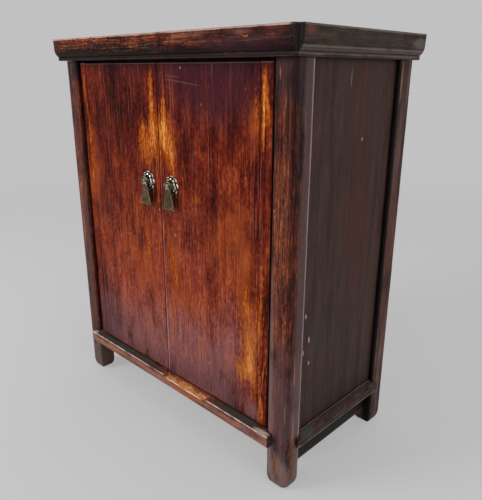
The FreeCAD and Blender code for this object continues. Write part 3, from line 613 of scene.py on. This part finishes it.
backPostLook = dict(
    sideLook, start=0.5, weights=(0.6, 0.9, 0.7, 0.6, 0.3),
    colours=[
        (0.1, "#1c1110"), (0.35, "#382421"), (0.5, "#523a35"), (0.65, "#6b4c41"), (0.85, "#86634f"),
        (1, "#9b7a64")],
    # the first, narrow strip is painted shade beside the side panel
    shade={"side": [(126, 420, 7, 420, -0.25), (140, 30, 60, 80, -0.2), (142, 300, 30, 150, -0.2)]},
    bare={"side": [(131, 735, 5, 60, 1.1)]}, wood=[(0.3, "#6f4c3a"), (0.8, "#9a7258")],
    tints=[
        ("#5e4a44", 0.5, 1.4, {"side": [(140, 620, 14, 160, 1.2)]}),
        ("#6b3527", 0.45, 2.4, {"side": [(142, 400, 26, 230, 1.1)]})],
    # painted shade, near black, on the post's front-facing step beside the side panel
    edges=[("#0c0909", 0.95, 0.5, {"top": [(334, 122, 12, 6, 3)]})])
makeLacquer("dullDarkLacquerBackPost", backPostLook, "postBackLeft", "postBackRight")
railSizes = dict(
    hair=(1.5, 40, 2, 0), fibre=(2.6, 90, 3, 2.9), band=(8, 160, 3, 3.7), blotch=(16, 34, 5, 8.1),
    mottle=(4, 7, 3, 6.4), ragged=(4, 50, 3, 5.5), line=(1, 160, 1, 12.3))
railLook = dict(
    sideLook, grain="y", sizes=railSizes, start=0.44, shade=[], drag=20,
    weights=(0.75, 0.9, 0.6, 0.7, 0.4),
    # painted shade: the apron under the rail is darkened to near black
    tints=[("#1a1e1b", 0.9, 0.4, {"spot": [(316, 0, 60, 12, 300, 34, 3)]})],
    edges=[
        ("#8a7d77", 0.75, 1.6, [(331, 114.5, 4, 4, 2), (348, 90, 4, 4, 1.8)]),
        ("#454b44", 0.7, 1.6, {"spot": [(342, -112, 108, 14, 26, 14, 1.6)]})],
    bare={"spot": [(347, -141, 94, 6, 7, 7, 1.2)], "front": [(345, 103, 9, 6, 0.3)]},
    wood=[(0.3, "#5a443b"), (0.8, "#8d6f60")])
makeLacquer("dullDarkLacquerRail", railLook, "sideRailLeft", "sideRailRight",
            "left_side_apron", "right_side_apron")
print("posts and sides lacquered")

# The cap's frame: grain along each member, orange where the upper face is rubbed
capLook = dict(
    postLook, grain="x", sizes=railSizes, drag=30, wood=wornWood, fine=[(-100, 808, 470, 24, 1.9)],
    fineColours=[(0.44, 0.2, 0.6, "#160a09"), (0.56, 0.8, 0.42, "#a86f45")], start=0.4,
    weights=(0.5, 0.6, 0.5, 0.85, 0.6),
    shade={
        "front": [
            (-190, 812, 240, 14, 0.1), (60, 813, 130, 14, 0.08), (260, 800, 150, 30, -0.12),
            (336, 802, 50, 30, -0.14), (-200, 796, 260, 12, -0.16)],
        # the cove, which faces down, is darkened: painted shade
        "side": [(-182, 782, 16, 17, -0.5)]},
    bare={
        "front": [
            (-300, 812, 40, 10, 0.45), (-220, 813, 60, 8, 0.5), (-120, 815, 60, 7, 0.5),
            (40, 814, 70, 7, 0.45), (130, 813, 40, 8, 0.4), (299, 814, 24, 7, 0.3),
            (-260, 804, 40, 6, 0.4), (-60, 808, 30, 5, 0.4)],
        "crack": [(240, 809, 252, 803, 1.6, 1.2), (246, 802, 260, 808, 1.2, 1.2)]},
    gloss=0.06, rough=(0.42, 0.6),
    tints=[
        # the lower bead is lightened: painted highlight
        ("#4a3431", 0.6, 0.8, {"side": [(-176, 776.5, 6, 5, 1.6)]}),
        ("#171511", 0.95, 0.6, [(2, 797, 26, 9, 2), (250, 806, 9, 5, 1.4), (-125, 813, 8, 5, 1.2)]),
        ("#3d2229", 0.65, 1.2, [(240, 800, 150, 26, 1)])],
    edges=[
        # pale line along the top front arris: rubbed lacquer and a painted highlight
        ("#c9a699", 0.85, 1.6, {"side": [(-189.5, 820.5, 4.4, 4.4, 2.2)]}),
        ("#a86f56", 0.32, 2.6, [(110, 812, 90, 7, 0.8), (235, 812, 40, 6, 0.6)]),
        # painted shade at the rounded front corners
        ("#20191b", 0.9, 1, {"top": [(352, -186, 20, 15, 2.2), (-354, -189, 9, 9, 2)]})])
makeLacquer("rubbedOxbloodLacquerCap", capLook, "cappingFront", "cappingBack")
capSideLook = dict(
    sideLook, grain="y", sizes=railSizes, start=0.36, shade=[], drag=20, weights=(0.6, 0.8, 0.5, 0.7, 0.5),
    tints=[
        # the cove and bead are lightened: painted sheen of the pale floor
        ("#5b504c", 0.8, 0.8, [(345, 784, 9, 7, 1.6), (341, 776, 5, 3, 1.4)]),
        ("#3a3730", 0.5, 1.4, {"side": [(-40, 806, 200, 26, 1)]})],
    edges=[
        ("#5a2617", 0.42, 2.4, [(300, 821, 62, 4, 2)]), ("#85776f", 0.6, 1.6, [(354, 820, 4, 4, 1.8)]),
        # pale lines on the cove and bead: painted sheen of the pale floor
        ("#7d7069", 0.6, 2, [(351.5, 789.5, 3.5, 2.4, 2), (343, 779.5, 3, 1.6, 1.6)]),
        ("#74463d", 0.6, 2.4, {"side": [(-162, 813, 24, 12, 0.8)]}),
        ("#574d34", 0.5, 2, {"side": [(-118, 806, 34, 7, 0.7)]}),
        ("#6c625c", 0.6, 2.4, {"side": [(165, 803, 42, 12, 1.3)]}),
        # painted shade at the rounded front corner
        ("#1c1618", 0.92, 1, {"top": [(354, -186, 14, 12, 2.6)]})])
makeLacquer("dullDarkLacquerCapSide", capSideLook, "cappingLeft", "cappingRight")
topLook = dict(
    capLook, sizes=doorLook["sizes"], start=0.38, shade=[], edges=[], fine=[],
    tints=[("#5a4a46", 0.5, 1.2, {"top": [(60, 20, 240, 90, 0.8)]})],
    bare={"top": [(-120, -20, 160, 50, 0.35), (170, 30, 120, 50, 0.35)]})
makeLacquer("rubbedOxbloodLacquerTop", topLook, "cap_panel")

# The sill is rubbed to raw wood in the middle and to a pale line along its front arris
sillLook = dict(
    capLook, fine=[(0, 103, 1400, 16, 1.4)], start=0.48,
    shade=[(-160, 114, 150, 9, -0.3), (220, 114, 90, 9, -0.3)], weights=(0.8, 0.8, 0.5, 1, 0.8),
    bare={
        "spot": [
            (64, -176, 109, 84, 14, 11, 2), (10, -177, 110, 20, 12, 9, 1.4),
            (118, -177, 110, 20, 12, 9, 1.4)],
        "front": [
            (64, 100, 100, 10, 0.4), (272, 112, 30, 12, 0.4), (-180, 102, 60, 8, 0.35),
            (190, 99, 50, 7, 0.3)]},
    bareWeights=dict(fibre=0.6, hair=0.4, mottle=0.6),
    wood=[(0.35, "#7a3b1a"), (0.65, "#ad6334"), (0.85, "#c58452"), (1, "#dcae84")],
    tints=[
        ("#9b7068", 0.68, 1.6, [(0, 98, 1400, 20, 1.2)]),
        ("#a8653f", 0.7, 2.6, [
            (-215, 100, 80, 8, 1.1), (-90, 103, 70, 6, 0.9), (70, 99, 90, 7, 1), (200, 101, 70, 6, 0.8)]),
        ("#3c211b", 0.6, 2.6, [(-140, 96, 110, 6, 0.9), (150, 96, 90, 6, 0.9), (270, 104, 30, 9, 0.9)])],
    soilAndShade=(8, 0.7),
    edges=[
        ("#45403e", 0.9, 1.2, {"spot": [(-170, -172, 116, 172, 14, 7, 3), (220, -172, 116, 90, 14, 7, 3)]}),
        ("#b5a79d", 0.85, 2.6, {"spot": [
            (284, -177, 114, 26, 10, 7, 1.4), (-296, -178, 114, 14, 9, 6, 1.6)]}),
        ("#2c2524", 0.9, 0.6, {"spot": [
            (306, -178, 100, 3, 20, 30, 2.5), (-306, -178, 100, 3, 20, 30, 2.5)]}),
        ("#dcc3b5", 0.9, 2, {
            "side": [(-183, 114, 2.7, 2.7, 1.9)],
            "spot": [(30, -183, 109.5, 34, 3, 2.4, 1.8), (84, -183, 108.6, 40, 3, 2.4, 1.8)]})])
makeLacquer("rubbedOxbloodLacquerSill", sillLook, "sill")
print("cap and sill lacquered")


# Raw softwood inside and at the back: sawn and planed, gone brown and dusty with age, and darkened in its
# corners by dust and painted shade
bareLook = dict(
    sizes=dict(fibre=(2, 120, 5, 0), band=(14, 500, 2, 4.2), stain=(60, 160, 4, 9.4)),
    weights=dict(fibre=0.5, band=0.5, stain=0.5), soilAndShade=30, gloss=0.25, bump=0.3)


def makeBareWood(name, axis, colours, *pieces):
    tree, spot = newMaterial(name, *pieces)
    grain = {word: streaks(tree, spot, axis, *size) for word, size in bareLook["sizes"].items()}
    colour = ramped(tree, grained(tree, 0.5, grain, bareLook["weights"]), colours)
    # darker in corners and recesses: dust and painted shade
    soiledAndShaded = enclosed(tree, bareLook["soilAndShade"], 0.7, 0.1, 0.95)
    finishSurface(tree, grain["fibre"], bareLook["bump"], 0.6, {
        "Base Color": mixed(tree, soiledAndShaded, colour, soilAndShadeColour),
        "Roughness": weighted(tree, 0.7, grain["fibre"], 0.2), "Specular IOR Level": bareLook["gloss"]})


plainWood = [(0.2, "#4a3324"), (0.5, "#75543a"), (0.85, "#9a7753")]
battens = [side + "_door_batten_" + place
           for side in ("left", "right") for place in ("bottom", "middle", "top")]
makeBareWood("agedSoftwoodUpright", "z", dustyWood, "lower_back_panel", "upper_back_panel")
makeBareWood("agedSoftwoodAcross", "x", plainWood, "floor_board", "shelf_board", "back_bottom_rail",
             "back_middle_rail", "back_top_rail", "door_stop_strip", *battens)
makeBareWood("agedSoftwoodDeep", "y", plainWood, "floor_batten", "left_shelf_bearer", "right_shelf_bearer",
             "cap_left_batten", "cap_right_batten")
print("inside and back finished")

# White brass, cast and chased, tarnished to a dull pewter with bright rubbed crests
castLook = dict(
    patch=5, crest=(0.47, 0.56), stain=1.1, rough=(0.6, 0.26), soilAndShade=5, soilAndShadeColour="#0b0a08",
    colours=[(0.2, "#12100c"), (0.5, "#4b4435"), (0.8, "#9a9180"), (1, "#e6e0d4")])
tagLook = dict(
    castLook, patch=9, crest=(0.46, 0.6), rough=(0.62, 0.45), soilAndShade=3,
    colours=[(0.2, "#493d2a"), (0.5, "#78684c"), (0.75, "#968871"), (1, "#bcb299")])
bossLook = dict(
    castLook, crest=(0.47, 0.57), soilAndShade=2.5,
    colours=[(0.2, "#15140e"), (0.5, "#4d4a3a"), (0.8, "#938b79"), (1, "#e6e0d4")])


def makeWhiteBrass(name, look, *pieces):
    tree, spot = newMaterial(name, *pieces)
    spread = addNode(tree, "Mapping", {"Vector": spot, "Scale": [1 / (look["patch"] * mm)] * 3})
    stain = addNode(tree, "TexNoise", {"Vector": spread, "Scale": 1, "Detail": 5, "Roughness": 0.65})
    crest = stepped(tree, addNode(tree, "NewGeometry").outputs["Pointiness"], *look["crest"])
    tone = weighted(tree, crest, stain, look["stain"])
    soiledAndShaded = enclosed(tree, look["soilAndShade"], 0.85, 0.45, 0.95)
    dull, bright = look["rough"]
    finishSurface(tree, stain, 0.15, 0.5, {
        "Base Color": mixed(tree, soiledAndShaded, ramped(tree, tone, look["colours"]), look["soilAndShadeColour"]),
        "Metallic": 1,
        "Roughness": addNode(tree, "MapRange", {"Value": tone, "To Min": dull, "To Max": bright})})


# Pulls. Each shape is made facing +Z with Y up, in mm from the middle of its plate, then stood on the door.
# plate, ring: radius, height. arches: radius, bead at the ends and middle, 1 if round the pin, angles.
# clinch: the size of the split pin's legs. rim: width, height. dent: size, depth
pull = dict(
    petals=8, petalPinch=0.9, petalDepth=0.2, petalFrom=10, petalReach=9, grooveDepth=1, grooveBase=1.3,
    shank=2.4, clinch=(12, 3, 1.2), clinchTaper=0.4, clinchRound=0.35,
    plate=[
        (2.4, 0), (19.6, 0), (19.9, 1.3), (19.2, 2.6), (18, 2.9), (17, 2.1), (15.6, 3.4), (13.9, 4.9),
        (12.6, 5.2), (11.9, 3.6), (2.4, 3)],
    domeBase=3, domeRadius=11.6, domeRise=13, domeSteps=12, ring=[(12.2, 0), (12.5, 1.1), (12, 2.2)],
    slotHalf=5.2, slotFloor=4.2, pinDrop=4, pinHeight=11, pinRadius=1.4, pinHalf=6.8,
    arches=[(6.3, (1.25, 0.9), 1, -35, 215), (8.6, (0.7, 1.3), 0, 20, 160)], archSteps=24,
    balls=[(-5.6, 3.6), (5.6, 3.6)], ballRadius=1.9, curl=(4.6, 1.3), curlBead=(1.5, 0.9),
    curlPlace=(13.2, -3.2, 5), curlFrom=150, curlSteps=28, curlTurn=20, curlRise=0.05)
tag = dict(
    length=44.5, neckHalf=5.2, bottomHalf=17.8, hollow=0.9, thick=1.9, rim=(1.3, 0.3), round=0.45,
    dish=0.35, dent=(7, 0.25), bore=1.45, knuckle=3)


def spunShape(profile, steps, closed):  # (radius, height) pairs turned round Z
    shape = bmesh.new()
    line = [shape.verts.new((radius * mm, 0, height * mm)) for radius, height in profile]
    edges = [shape.edges.new(pair) for pair in zip(line, line[1:])]
    if closed:
        edges.append(shape.edges.new((line[-1], line[0])))
    bmesh.ops.spin(shape, geom=line + edges, cent=(0, 0, 0), axis=(0, 0, 1), angle=tau, steps=steps,
                   use_merge=True)
    bmesh.ops.remove_doubles(shape, verts=shape.verts, dist=mergeGap)
    bmesh.ops.recalc_face_normals(shape, faces=shape.faces)
    return shape


def turnAbout(shape, axis, move):  # a quarter turn, and then a move
    quarter = Matrix.Rotation(pi / 2, 3, axis)
    bmesh.ops.rotate(shape, verts=shape.verts, cent=(0, 0, 0), matrix=quarter)
    bmesh.ops.translate(shape, verts=shape.verts, vec=move)


def addTube(shape, points, radii, sides=12):  # a tapering bead through points
    points = [Vector(point) * mm for point in points]
    steps = [(after - before).normalized() for before, after in zip(points, points[1:])]
    ways = [steps[0]] + [(one + two).normalized() for one, two in zip(steps, steps[1:])] + [steps[-1]]
    made = bmesh.ops.create_circle(shape, cap_ends=True, segments=sides, radius=radii[0] * mm)["verts"]
    face = made[0].link_faces[0]
    turn = Vector((0, 0, 1)).rotation_difference(ways[0]).to_matrix()
    bmesh.ops.rotate(shape, verts=made, cent=(0, 0, 0), matrix=turn)
    bmesh.ops.translate(shape, verts=made, vec=points[0])
    for number in range(1, len(points)):
        grown = bmesh.ops.extrude_face_region(shape, geom=[face, *face.edges])["geom"]
        face = [item for item in grown if isinstance(item, bmesh.types.BMFace)][0]
        ring = list(face.verts)
        bmesh.ops.translate(shape, verts=ring, vec=points[number] - points[number - 1])
        middle = Matrix.Translation(-points[number])
        turn = ways[number - 1].rotation_difference(ways[number]).to_matrix()
        bmesh.ops.rotate(shape, verts=ring, cent=points[number], matrix=turn)
        ratio = radii[number] / radii[number - 1]
        bmesh.ops.scale(shape, verts=ring, vec=[ratio] * 3, space=middle)


def domeHeight(x, y):
    share = min((x * x + y * y) / pull["domeRadius"] ** 2, 1)
    return pull["domeBase"] + pull["domeRise"] * sqrt(1 - share)


def plateShape():  # eight petals, each with a raised rim
    shape = spunShape(pull["plate"], 128, True)
    base = pull["grooveBase"] * mm
    for vertex in shape.verts:
        reach = min(max((vertex.co.xy.length / mm - pull["petalFrom"]) / pull["petalReach"], 0), 1)
        angle = atan2(vertex.co.y, vertex.co.x)
        between = 1 - abs(cos(angle * pull["petals"] / 2)) ** pull["petalPinch"]
        vertex.co.xy *= 1 - pull["petalDepth"] * between * reach
        if vertex.co.z > base:
            vertex.co.z = base + (vertex.co.z - base) * (1 - pull["grooveDepth"] * between * reach)
    return shape


def bossShape():  # a dome on a moulded ring, with an arched slot for the tag, two balls and a curl each side
    count = pull["domeSteps"]
    turns = [pi / 2 * number / count for number in range(count + 1)]
    dome = [(pull["domeRadius"] * cos(turn), pull["domeRise"] * sin(turn)) for turn in turns]
    dome = [(0, 0)] + pull["ring"] + dome
    shape = spunShape([(radius, height + pull["domeBase"]) for radius, height in dome], 72, False)

    half, pinY = pull["slotHalf"], -pull["pinDrop"]
    centre, floor = Vector((0, pinY, 0)) * mm, pull["slotFloor"] * mm
    ways = [Vector((cos(turn), sin(turn), 0)) for turn in (i * pi / 8 for i in range(9))]
    for way in ways:
        cut(shape, centre + way * half * mm, way)
    inside = []
    for face in shape.faces:
        middle = face.calc_center_median()
        within = all((middle - centre).dot(way) < half * mm for way in ways)
        if within and face.normal.z > -0.5 and middle.z > floor:
            inside.append(face)
    rims = {edge for face in inside for edge in face.edges}
    for item in bmesh.ops.extrude_face_region(shape, geom=inside + list(rims))["geom"]:
        if isinstance(item, bmesh.types.BMVert):
            item.co.z = floor

    count = pull["curlSteps"]
    x, y, z = pull["curlPlace"]
    wide, narrow = pull["curl"]
    start, end = pull["curlBead"]
    for side in (-1, 1):
        points = []
        for number in range(count + 1):
            angle = radians(pull["curlFrom"] - pull["curlTurn"] * number)
            radius = wide + (narrow - wide) * number / count
            points.append((side * (x + radius * cos(angle)), y + radius * sin(angle),
                           z + pull["curlRise"] * number))
        addTube(shape, points, [start + (end - start) * number / count for number in range(count + 1)])
    count = pull["archSteps"]
    for radius, (thin, thick), atPin, low, high in pull["arches"]:
        points = []
        for number in range(count + 1):
            angle = radians(low + (high - low) * number / count)
            place = radius * cos(angle), atPin * pinY + radius * sin(angle)
            points.append((*place, domeHeight(*place) + 0.2))
        addTube(shape, points, [thin + (thick - thin) * sin(pi * number / count)
                                for number in range(count + 1)])
    for x, y in pull["balls"]:
        place = Matrix.Translation(Vector((x, y, domeHeight(x, y) + 0.5)) * mm)
        bmesh.ops.create_icosphere(shape, subdivisions=3, radius=pull["ballRadius"] * mm, matrix=place)

    reach = pull["pinHalf"]
    ends = [(x, pinY, pull["pinHeight"]) for x in (-reach, -reach + 0.3, reach - 0.3, reach)]
    addTube(shape, ends, [pull["pinRadius"] * share for share in (0.8, 1, 1, 0.8)])
    depth = doorDepth / mm
    addTube(shape, [(0, 0, pull["domeBase"] + 1), (0, 0, 0), (0, 0, -depth)], [pull["shank"]] * 3)
    length, width, thick = pull["clinch"]
    for side in (-1, 1):  # the split pin's legs, hammered flat and tapering
        leg = bmesh.ops.create_cube(shape, size=mm)["verts"]
        bmesh.ops.scale(shape, verts=leg, vec=(length, width, thick))
        place = Vector((side * length / 2, 0, -depth - thick / 2)) * mm
        bmesh.ops.translate(shape, verts=leg, vec=place)
        for vertex in leg:
            if abs(vertex.co.x) > length / 2 * mm:
                vertex.co.y *= pull["clinchTaper"]
        edges = list({edge for vertex in leg for edge in vertex.link_edges})
        bmesh.ops.bevel(shape, geom=edges, offset=pull["clinchRound"] * mm, affect="EDGES", segments=2,
                        profile=0.5, material=-1)
    return shape


def tagShape():  # a flared blade with a low rim, dished and dented, hung from a rolled knuckle
    shape = bmesh.new()
    bmesh.ops.create_grid(shape, x_segments=12, y_segments=20, size=0.5)
    half, length, thick = tag["neckHalf"], tag["length"], tag["thick"]
    pinY, pinZ = -pull["pinDrop"], pull["pinHeight"]
    for vertex in shape.verts:
        across, down = vertex.co.x * 2, 0.5 - vertex.co.y
        rise = tag["hollow"] * (1 - across * across) * down ** 6
        across *= half + (tag["bottomHalf"] - half) * down
        vertex.co = Vector((across, pinY - 1.5 - down * (length - 1.5) + rise, pinZ)) * mm
    bmesh.ops.recalc_face_normals(shape, faces=shape.faces)
    if shape.faces[0].normal.z < 0:
        bmesh.ops.reverse_faces(shape, faces=shape.faces)
    width, depth = tag["rim"]
    bmesh.ops.inset_region(shape, faces=shape.faces[:], thickness=width * mm, depth=-depth * mm)
    bmesh.ops.solidify(shape, geom=shape.faces[:], thickness=thick * mm)
    bmesh.ops.translate(shape, verts=shape.verts, vec=(0, 0, thick / 2 * mm))
    outer = [edge for edge in shape.edges if len(edge.link_faces) == 2 and edge.calc_face_angle() > 1.2]
    bmesh.ops.bevel(shape, geom=outer, offset=tag["round"] * mm, affect="EDGES", segments=2, profile=0.5,
                    material=-1)
    size, depth = tag["dent"]
    for vertex in shape.verts:
        down = (pinY * mm - vertex.co.y) / (length * mm)
        vertex.co.z -= tag["dish"] * mm * sin(pi * min(max(down, 0), 1))
        vertex.co.z += noise.noise(vertex.co / (size * mm)) * depth * mm
    end = [(tag["bore"], half - 0.3), (tag["knuckle"] - 0.4, half), (tag["knuckle"], half - 0.5)]
    knuckle = spunShape([(radius, -height) for radius, height in end] + end[::-1], 32, True)
    turnAbout(knuckle, "Y", Vector((0, pinY, pinZ)) * mm)
    rolled = bpy.data.meshes.new("rolledKnuckle")
    knuckle.to_mesh(rolled)
    knuckle.free()
    shape.from_mesh(rolled)
    bpy.data.meshes.remove(rolled)
    return shape


for side in ("left", "right"):
    low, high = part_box(side + "_pull_plate")
    centre = Vector(((low[0] + high[0]) / 2, high[1], (low[2] + high[2]) / 2))
    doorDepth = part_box(side + "_door_board")[1][1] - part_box(side + "_door_board")[0][1]
    for part, makeShape, body in (("plate", plateShape, "door"), ("boss", bossShape, "door"),
                                  ("tag", tagShape, "tag")):
        shape = makeShape()
        turnAbout(shape, "X", centre)
        piece = newPiece(side + "Pull" + part.capitalize(), shape, side + "_" + body)
        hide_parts(side + "_pull_" + part)
makeWhiteBrass("tarnishedWhiteBrassCast", castLook, "leftPullPlate", "rightPullPlate")
makeWhiteBrass("tarnishedWhiteBrassBoss", bossLook, "leftPullBoss", "rightPullBoss")
makeWhiteBrass("tarnishedWhiteBrassTag", tagLook, "leftPullTag", "rightPullTag")
print("pulls cast")
